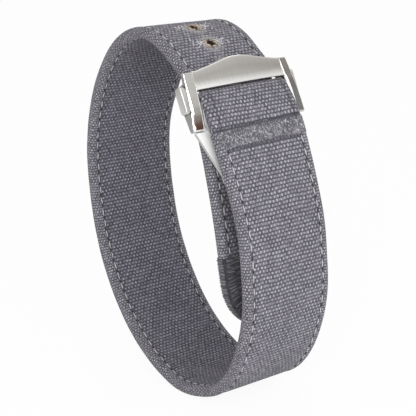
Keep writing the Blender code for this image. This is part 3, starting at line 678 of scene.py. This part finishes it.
# Frayed fibres round the holes that show, and scorched ones across them
def frayed_fibres(name, spot, out, ahead, seed, count, reach, sizes, finish):
    dice = random.Random(seed)
    side = out.cross(ahead)
    spots = []
    for _ in range(count):
        a = dice.choice((0, math.pi)) + dice.gauss(0, reach[2])
        far = HOLE_DIAMETER / 2 * reach[0] + abs(dice.gauss(0, reach[1]))
        way = side * math.cos(a) * 1.25 + ahead * math.sin(a)
        place = spot + way * far + out * dice.uniform(-0.00004, 0.00010)
        lean = (side * dice.gauss(0, 1) + ahead * dice.gauss(0, 1) + out * dice.uniform(0, 0.35)).normalized()
        spots.append((place, lean, out, dice.uniform(0.5, 1.3)))
    return lay(name, spots, sizes, finish)


for index in (3, 4, 5):
    spot, out, ahead = hole_spots[index]
    for word, seed, count, reach, sizes, finish in (
        ("fray", 31, 60, (1.15, 0.0010, 0.32), (0.00012, 0.00009, 0.0006), white_fibre),
        ("scorch", 57, 34, (0.55, 0.00035, 0.9), (0.00016, 0.00012, 0.0006), golden_fibre),
    ):
        name = "hole_%s_%d" % (word, index)
        fray = frayed_fibres(name, spot, out, ahead, seed + index, count, reach, sizes, finish)
        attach(fray, "strap")

# Running stitches along both edges, on both faces
stitch_sizes = (0.00022, 0.00020, 0.00150)
prick_sizes = (0.00032, 0.00020, 0.00055)
SEWN_DEPTH, SEWN_CLEAR = 0.00010, 0.0012
faces_sewn = ((SEWN_DEPTH, True), (STRAP_THICK - SEWN_DEPTH, False))
rows_sewn = [(side * STITCH_AT, depth, outward) for depth, outward in faces_sewn for side in (-1, 1)]
last = path_end - TACK_LENGTH - 0.0006
main_spots, main_pricks, closing_spots, closing_pricks = [], [], [], []
for seed, row in enumerate(rows_sewn):
    spots, pricks = line_of_stitches(TAIL_TIP + SEWN_CLEAR, split_run, *row, seed)
    main_spots, main_pricks = main_spots + spots, main_pricks + pricks
    spots, pricks = line_of_stitches(split_run + SEWN_CLEAR, last, *row, seed + 9, closing_lift)
    closing_spots, closing_pricks = closing_spots + spots, closing_pricks + pricks
# The needle holes are dark beads of painted shade
for name, spots, sizes, finish in (
    ("running_stitches", main_spots, stitch_sizes, pale_thread_and_highlight),
    ("needle_hole_shade", main_pricks, prick_sizes, needle_dark),
):
    sewn = lay(name, spots, sizes, finish)
    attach(sewn, "strap")
closing_stitches = lay("closing_stitches", closing_spots, stitch_sizes, pale_thread_and_highlight)
closing_hole_shade = lay("closing_needle_hole_shade", closing_pricks, prick_sizes, needle_dark)


# Bound tail tip: a round end, wrapped with thread
def bound_tip():
    ring = section_ring()
    stations = [0.00004, 0.00015, 0.0004, 0.0008, 0.0013, 0.002] + list(np.linspace(0.003, TAIL_TIP, 18))
    verts = []
    for run in stations:
        spot, out, _ = strap_spot(run)
        reach = math.sqrt(max(0, TAIL_RADIUS**2 - max(0, TAIL_RADIUS - run) ** 2))
        roll = min(1.0, 0.45 + run / 0.0022)
        for a, d in ring:
            depth = STRAP_THICK / 2 + (d - STRAP_THICK / 2) * roll * 1.10
            verts.append(spot - out * depth + Vector((0, a / (STRAP_WIDTH / 2) * reach, 0)))
    made = new_piece("bound_tail_tip", verts, tube(len(stations), len(ring)), [whip_canvas])
    outwards(made, weld=True)
    sharpen(made, 50)
    return made


bound = bound_tip()
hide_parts("tail_tip")
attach(bound, "strap")


WHIP_SIZES = (0.00026, 0.00016, 0.0021)


def whipping_spots(seed, share):
    dice = random.Random(seed)
    spots = []
    straight = TAIL_TIP - TAIL_RADIUS
    for inset, reach in ((-0.00004, 0.85), (0.0014, 1.0), (0.0032, 0.9), (0.0050, 0.75)):
        arc = TAIL_RADIUS - inset
        length = 2 * straight + math.pi * arc
        count = int(length / WHIP_SIZES[0] * share)
        for k in range(count):
            walk = (k + dice.random()) / count * length
            if walk < straight or walk > length - straight:
                side = -1 if walk < straight else 1
                run, across = TAIL_RADIUS + min(walk, length - walk), side * arc
                turn = 0.0 if side > 0 else math.pi
            else:
                turn = math.pi - (walk - straight) / arc
                run, across = TAIL_RADIUS - arc * math.sin(turn), arc * math.cos(turn)
            for depth, sign in ((-0.00010, 1), (STRAP_THICK + 0.00010, -1)):
                if inset < 0:
                    depth = STRAP_THICK / 2
                spot, out, ahead = strap_spot(max(run, 0.00001), depth, across)
                spoke = Vector((0, math.cos(turn), 0)) - ahead * math.sin(turn)
                tilt = ahead * math.cos(turn) + Vector((0, math.sin(turn), 0))
                way, facing = (out, spoke) if inset < 0 else (spoke, out * sign)
                way = (way + tilt * dice.uniform(-0.16, 0.16)).normalized()
                spots.append((spot, way, facing, dice.uniform(0.85, 1.1) * reach))
    return spots


for name, seed, share, finish in (
    ("tail_whipping", 77, 1.0, whip_thread), ("tail_whipping_pale", 81, 0.5, whip_pale),
):
    whipping = lay(name, whipping_spots(seed, share), WHIP_SIZES, finish)
    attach(whipping, "strap")

# The cover's loop round the spring bar: along the clasp and out from it, in millimetres
loop_line = [
    (15.2, 2.20), (13.2, 2.30), (11.8, 2.31), (10.2, 2.33), (8.6, 2.36), (7.0, 2.38), (5.6, 2.28),
    (4.5, 1.98), (3.75, 1.45), (3.45, 0.75), (3.7, 0.05), (4.35, -0.48), (5.1, -0.62), (6.0, -0.40),
    (6.9, -0.02), (7.8, 0.10), (9.4, 0.08), (11.2, 0.09),
]
flat_loop = smooth([(s / 1000, h / 1000) for s, h in loop_line], 0.00025)
for crease in CREASES:
    dip = 0.00024 * np.exp(-(((flat_loop[:, 0] - crease) / 0.00036) ** 2))
    flat_loop[:, 1] -= np.where(flat_loop[:, 1] > 0.0015, dip, 0)


# The loop leans with the webbing it is sewn to
def loop_lean(along, out, across):
    most = float(np.interp(along, (0.0040, 0.0056, 0.0086, 0.0118), (0.0, 0.25, 0.80, 1.15))) / 1000
    return most * (0.5 + across / STRAP_WIDTH) * min(1.0, max(0.0, (out - 0.0012) / 0.0008))


loop_path = np.array([clasp_point(s, h) for s, h in flat_loop])
loop_run, loop_out = runs(loop_path), normals(loop_path)
PLY_SHOWN, PLY_CURL = 0.00062, 0.0011
PLY_DROOP = ((0.0040, 0.0052, 0.0105, 0.0120), (0.0004, 0.0012, PLY_CURL, 0.0004))


def ply_loop(name):
    half = [(0, 0, 0), (3, 0, 0), (6, 0, 0), (8, 0, 0), (8.8, 0, 0.02), (9.3, 0, 0.10), (9.65, 0.02, 0.28)]
    half += [(9.88, 0.08, 0.58), (9.97, 0.17, 0.85), (9.98, 0.31, 1.0)]
    half = [(a / 9.98, d / 1000, curl) for a, d, curl in half]
    right = half + [(a, PLY_SHOWN - d, curl) for a, d, curl in half[:-1]][::-1]
    ring = right + [(-a, d, curl) for a, d, curl in right[1:-1]][::-1]
    verts = []
    for run, (x, z), (nx, nz), (along, rise) in zip(loop_run, loop_path, loop_out, flat_loop):
        spot, out = Vector((x, 0, z)), Vector((nx, 0, nz))
        droop = float(np.interp(along, *PLY_DROOP))
        for a, d, curl in ring:
            d += droop * curl * (0.45 if a > 0 else 1)
            across = a * STRAP_WIDTH / 2
            lift = noise.noise(Vector((across * 260, run * 300, 3))) * 0.00006
            lift += loop_lean(along, rise, across)
            verts.append(spot - out * (d - lift) + Vector((0, across, 0)))
    made = new_piece(name, verts, tube(len(loop_path), len(ring)), [band_canvas])
    section = [(a * STRAP_WIDTH / 2, d + PLY_CURL * curl) for a, d, curl in ring]
    flat = [(0, a) for a, _, _ in ring]
    lay_cloth(made, loop_run, section, flat[::-1] + flat)
    outwards(made)
    sharpen(made, 60)
    return made


loop = ply_loop("spring_bar_loop")
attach(loop, "fold")


# Sewn band across the closing end: fine threads laid every way between two sunken lines
def band_spots(count, seed, lift):
    dice = random.Random(seed)
    spots = []
    half = STRAP_WIDTH / 2 - 0.0007
    for _ in range(count):
        share = dice.random()
        along = TACK_START + 0.0002 + share * (TACK_LENGTH - 0.0004)
        across = dice.uniform(-half, half)
        h = np.interp(-along, -flat_loop[:60, 0], flat_loop[:60, 1])
        x, z = clasp_point(along, h + lift + loop_lean(along, h, across))
        _, out, ahead = strap_spot(path_end - (along - TACK_START))
        turn = dice.choice((0.7, -0.7)) + dice.gauss(0, 0.22)
        way = (ahead * math.cos(turn) + Vector((0, math.sin(turn), 0))).normalized()
        spot = Vector((x, across, z)) + out * dice.uniform(-0.00003, 0.00003)
        spots.append((spot, way, out, dice.uniform(0.6, 1.15)))
    return spots


# Besides the thread itself, dark beads of painted shade and pale beads of painted highlight lie among the
# band's threads
for name, count, seed, lift, sizes, finish in (
    ("cross_band_threads", 1700, 5, 0.00005, (0.00015, 0.00011, 0.0008), tack_thread),
    ("cross_band_thread_shade", 1900, 8, 0.00006, (0.00015, 0.00012, 0.00065), tack_shade),
    ("cross_band_thread_highlights", 260, 11, 0.00008, (0.00013, 0.00010, 0.0005), pale_thread_and_highlight),
):
    threads = lay(name, band_spots(count, seed, lift), sizes, finish)
    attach(threads, "fold")
    if finish is tack_thread:
        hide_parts("cross_tack")

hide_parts("closure_cover", "closure_core", "closure_lining")
for piece in (closing, closing_stitches, closing_hole_shade):
    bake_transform(piece)


# The arms: an inner bevel with a painted highlight, a leaning face and an outer chamfer that widens to the
# free end.
# Places along the clasp, and there the top's fall and the underside's height in millimetres
ARM_STARTS, ARM_LEAN = -0.0003, 0.00030
arm_top = ((-0.0003, 0.0044, 0.0060, 0.0075, 0.0088, 0.0098, 0.0104), (0, 0, 0.06, 0.20, 0.38, 0.55, 0.68))
LOW_PLACES = (0.0015, 0.00172, 0.0070, 0.0082, 0.0100)
arm_low = ((ARM_STARTS, *LOW_PLACES, CLASP_LENGTH), (0.15, -0.05, -1.62, -1.66, -1.40, -1.05, -0.80))
END_ROUNDING = ((0, 0.00008, 0.00024), (0.00024, 0.00008, 0))


def arm_section(s, side):
    share = s / CLASP_LENGTH
    from_end = min(s - ARM_STARTS, CLASP_LENGTH - s)
    top = ARM_TOP - float(np.interp(s, *arm_top)) / 1000 - float(np.interp(from_end, *END_ROUNDING))
    low = float(np.interp(s, *arm_low)) / 1000
    spread = 0.0002 + 0.0008 * share if side > 0 else 0
    inner, outer = 0.01007 + 0.0004 * share + spread, 0.01205 + 0.0007 * share + spread
    chamfer = float(np.interp(s, (0.0018, 0.0045, CLASP_LENGTH), (0.00008, 0.00028, 0.00062)))
    chamfer = min(chamfer, 0.00018) if side > 0 else chamfer
    bevel = float(np.interp(s, (BRIDGE_LENGTH - 0.0002, BRIDGE_LENGTH + 0.0004), (0.00022, 0.00042)))
    rim = top - ARM_LEAN
    return [
        (inner, low), (inner, top - bevel), (inner + 0.2 * bevel, top - 0.45 * bevel), (inner + bevel, top),
        (outer - chamfer, rim), (outer - 0.08 * chamfer, rim - 0.64 * chamfer),
        (outer, rim - 0.64 * chamfer - 0.00007), (outer, min(low, rim - 0.0006)),
    ]


def arm_piece(name, side):
    places = [*np.linspace(ARM_STARTS, CLASP_LENGTH, 30), *LOW_PLACES]
    for inset in END_ROUNDING[0][1:]:
        places += [ARM_STARTS + inset, CLASP_LENGTH - inset]
    stations = sorted(set(places))
    verts = []
    for s in stations:
        for y, h in arm_section(s, side):
            x, z = clasp_point(s, h)
            verts.append((x, side * y, z))
    slots = [1, 3, 3, 0, 2, 2, 1, 1]
    finishes = [arm_steel, side_steel, polished, bevel_highlight_steel]
    made = new_piece(name, verts, tube(len(stations), len(slots)), finishes)
    made.data.polygons.foreach_set("material_index", slots * (len(stations) - 1) + [2, 2])
    outwards(made)
    return made


for side, word in ((-1, "left"), (1, "right")):
    arm = arm_piece("clasp_arm_" + word, side)
    bpy.ops.mesh.primitive_cube_add(size=1)
    way = bpy.context.object
    way.matrix_world = clasp_matrix(BUTTON_AT, side * 0.0115, BUTTON_RISE)
    way.matrix_world @= Matrix.Diagonal((0.00516, 0.008, 0.00206, 1))
    cut_with(arm, way)
    arm = finish_piece(arm)
    bpy.data.objects.remove(way, do_unlink=True)
    arm.data.shade_smooth()
    sharpen(arm, 22)
    if side < 0:
        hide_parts("clasp_frame")
    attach(arm, "strap")

# The bridge's section from its upper edge to its lower lip: set back from the edge, share of the way
# to the lip, and how high
BRIDGE_ROWS = (
    (0.0, 0.0, -0.00070), (0.0, 0.0, -0.00018), (0.000168, 0.0, -0.00004), (0.00036, 0.0, 0.0),
    (0.0, 0.40, -0.00006), (0.0, 0.58, -0.00005), (0.0, 0.74, 0.0), (0.0, 0.88, 0.00008),
    (0.0, 0.96, 0.00014), (0.0, 1.0, 0.00016), (0.0, 1.0, -0.00058), (0.0, 0.96, -0.00070),
)


# The bridge: its upper edge rises to a low, flat-topped hat and is polished, and its lower lip has a painted
# highlight
def bridge_plate():
    columns, n = 49, len(BRIDGE_ROWS)
    half = FRAME_WIDTH / 2 - WALL + 0.00014
    verts = []
    for i in range(columns):
        y = -half + 2 * half * i / (columns - 1)
        hat = min(1.0, max(0.0, (0.0094 - abs(y)) / 0.0083))
        hat = hat - 0.05 * math.sin(2 * math.pi * hat) * hat
        upper = -0.0003 - 0.0016 * hat
        crown = 0.00045 * (1 - (y / half) ** 2) - 0.0003
        for set_back, share, rise in BRIDGE_ROWS:
            x, z = clasp_point(upper + set_back + (BRIDGE_LENGTH - upper) * share, BRIDGE_TOP + crown + rise)
            verts.append((x, y, z))
    made = new_piece("clasp_bridge", verts, tube(columns, n), [satin_steel, polished])
    slots = ([1, 1] + [0] * (n - 2)) * (columns - 1) + [1, 1]
    made.data.polygons.foreach_set("material_index", slots)
    outwards(made)
    sharpen(made, 35)
    return made

# The bridge: its upper edge rises to a low, flat-topped hat and is polished, and its lower lip has a painted
# highlight
def bridge_plate():
    columns = 49
    half = FRAME_WIDTH / 2 - WALL + 0.00014
    rows = [
        (1.0, 0.0, -0.00070), (1.0, 0.0, -0.00018), (0.86, 0.0, -0.00004), (0.70, 0.0, 0.0),
        (0.0, 0.40, -0.00006), (0.0, 0.58, -0.00005), (0.0, 0.74, 0.0), (0.0, 0.88, 0.00008),
        (0.0, 0.96, 0.00014), (0.0, 1.0, 0.00016), (0.0, 1.0, -0.00058), (0.0, 0.96, -0.00070),
    ]
    verts, faces, slots = [], [], []
    for i in range(columns):
        y = -half + 2 * half * i / (columns - 1)
        hat = min(1.0, max(0.0, (0.0094 - abs(y)) / 0.0083))
        hat = hat - 0.05 * math.sin(2 * math.pi * hat) * hat
        upper = -0.0003 - 0.0016 * hat
        crown = 0.00045 * (1 - (y / half) ** 2) - 0.0003
        for edge_share, along_share, drop in rows:
            along = upper if edge_share == 1.0 else upper + (1 - edge_share) * 0.0012
            if along_share > 0:
                along = upper + (BRIDGE_LENGTH - upper) * along_share
            x, z = clasp_point(along, BRIDGE_TOP + crown + drop)
            verts.append((x, y, z))
    n = len(rows)
    for i in range(columns - 1):
        for j in range(n):
            k = (j + 1) % n
            faces.append((i * n + j, (i + 1) * n + j, (i + 1) * n + k, i * n + k))
            slots.append(1 if j in (0, 1) else 0)
    faces.append(tuple(range(n)))
    faces.append(tuple(range((columns - 1) * n, columns * n))[::-1])
    slots += [1, 1]
    made = new_piece("clasp_bridge", verts, faces, [satin_steel, polished])
    made.data.polygons.foreach_set("material_index", slots)
    work = bmesh.new()
    work.from_mesh(made.data)
    bmesh.ops.recalc_face_normals(work, faces=work.faces)
    work.to_mesh(made.data)
    work.free()
    made.data.set_sharp_from_angle(angle=math.radians(35))
    return made


bridge = bridge_plate()
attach(bridge, "strap")

# Push buttons
for side, word in ((-1, "left"), (1, "right")):
    outward = 0.0009 if side > 0 else 0
    inner, outer = side * (0.01144 + outward), side * (FRAME_WIDTH / 2 + 0.0013 + 0.2 * outward)
    half_s, half_h, corner = 0.0025, 0.00095, 0.0006
    outline = []
    for cx, cz, start in ((1, 1, 0), (-1, 1, 90), (-1, -1, 180), (1, -1, 270)):
        for k in range(6):
            a = math.radians(start + 90 * k / 5)
            outline.append(clasp_point(
                BUTTON_AT + cx * (half_s - corner) + corner * math.cos(a),
                BUTTON_RISE + cz * (half_h - corner) + corner * math.sin(a),
            ))
    verts = [(x, y, z) for y in sorted((inner, outer)) for x, z in outline]
    button = new_piece("push_button_" + word, verts, tube(2, len(outline)), [button_steel])
    outwards(button)
    edge = button.modifiers.new("edge", "BEVEL")
    edge.width, edge.segments = 0.00030, 4
    edge.limit_method, edge.angle_limit = "ANGLE", math.radians(60)
    button = finish_piece(button)
    button.data.shade_smooth()
    sharpen(button, 40)
    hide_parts("button_" + word)
    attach(button, "button_" + word)

# Carried-over steel pieces
for name, finish in (
    ("base_blade", blade_steel), ("fold_blade", blade_steel), ("hinge_pin", polished),
    ("strap_peg", polished), ("bar_barrel", shaded_bar_steel), ("bar_spring", shaded_bar_steel),
    ("bar_tip_left", shaded_bar_steel), ("bar_tip_right", shaded_bar_steel),
):
    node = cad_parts[name]
    for slot in node.material_slots:
        slot.material = finish
    if not node.material_slots:
        node.data.materials.append(finish)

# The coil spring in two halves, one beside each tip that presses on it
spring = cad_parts["bar_spring"]
for side, word in ((-1, "left"), (1, "right")):
    work = bmesh.new()
    work.from_mesh(spring.data)
    work.transform(spring.matrix_world)
    geometry = work.verts[:] + work.edges[:] + work.faces[:]
    half_way = (0, -side, 0)
    cut = bmesh.ops.bisect_plane(work, geom=geometry, plane_co=(0, 0, 0), plane_no=half_way, clear_outer=True)
    rims = [edge for edge in cut["geom_cut"] if isinstance(edge, bmesh.types.BMEdge)]
    bmesh.ops.holes_fill(work, edges=rims)
    work.verts.index_update()
    coil = new_piece(
        "coil_spring_" + word, [tuple(v.co) for v in work.verts],
        [tuple(v.index for v in face.verts) for face in work.faces], [shaded_bar_steel],
    )
    work.free()
    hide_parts("bar_spring")
    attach(coil, "fold")
    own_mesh(coil)

# Floor, light and camera
FLOOR_GLOW = 0.93
bpy.ops.mesh.primitive_plane_add(size=4, location=(0, 0, float(strap_path[:, 1].min()) - 0.0002))
floor = bpy.context.object
floor.name = "floor"
pale = Paint("pale floor")
pale.set(colour=(0.90, 0.90, 0.90), rough=0.9)
glow, mixer = pale.node("ShaderNodeEmission"), pale.node("ShaderNodeMixShader")
pale.put((1, 1, 1), glow.inputs["Color"])
seen = pale.math("MULTIPLY", pale.node("ShaderNodeLightPath").outputs["Is Camera Ray"], FLOOR_GLOW)
for slot, source in enumerate((seen, pale.shader.outputs[0], glow.outputs[0])):
    pale.put(source, mixer.inputs[slot])
pale.put(mixer.outputs[0], pale.tree.nodes["Material Output"].inputs["Surface"])
floor.data.materials.append(pale.material)

# The camera sees a white room, other rays an even light, and steel a brown band under a pale sky
scene = bpy.context.scene
scene.world = bpy.data.worlds.new("studio")
scene.world.use_nodes = True
studio = Nodes(scene.world.node_tree)
rays = studio.node("ShaderNodeLightPath").outputs
way = studio.split(studio.node("ShaderNodeTexCoord").outputs["Generated"])
overhead = studio.range(way[2], 0.0, 1.0, 1.02, 0.34)
level = studio.range(rays["Is Camera Ray"], 0.0, 1.0, overhead, 1.0)
tones = studio.ramp(way[2], (
    (0.0, (0.80, 0.80, 0.80)), (0.02, (0.030, 0.018, 0.014)), (0.31, (0.16, 0.070, 0.045)),
    (0.38, (0.42, 0.40, 0.38)), (0.45, (0.68, 0.67, 0.65)), (0.75, (1.0, 1.0, 1.0)),
))
behind = studio.math("MULTIPLY", studio.range(way[1], 0.42, 0.58), studio.range(way[2], 0.37, 0.29))
aside = studio.ramp(way[0], ((0.03, (1, 1, 1)), (0.20, (0.30, 0.30, 0.31))))
mirrored = studio.mix(rays["Is Glossy Ray"], level, studio.mix(behind, tones, aside))
studio.put(mirrored, studio.tree.nodes["Background"].inputs["Color"])


def lamp(name, spot, power):
    light = bpy.data.lights.new(name, "AREA")
    light.size, light.energy = 0.30, power
    made = linked(name, light)
    made.location = spot
    made.rotation_euler = (-Vector(spot)).to_track_quat("-Z", "Y").to_euler()
    return made


lamp("key", (0.36, -0.34, 0.26), 1.7)
lamp("fill", (0.42, -0.05, 0.12), 0.9).visible_glossy = False
lamp("rim", (-0.30, 0.25, 0.35), 0.4)

PHOTO_PIXELS, FOCAL_PIXELS = 416, 1427.8
camera = scene.camera = linked("camera", bpy.data.cameras.new("camera"))
camera.data.sensor_width = 36
camera.data.lens = FOCAL_PIXELS / PHOTO_PIXELS * 36
camera.data.clip_start = 0.01
camera.location = (0.20493, -0.16541, 0.08071)
camera.rotation_euler = Vector((-0.74127, 0.60182, -0.29721)).to_track_quat("-Z", "Y").to_euler()
scene.view_settings.view_transform = "Standard"
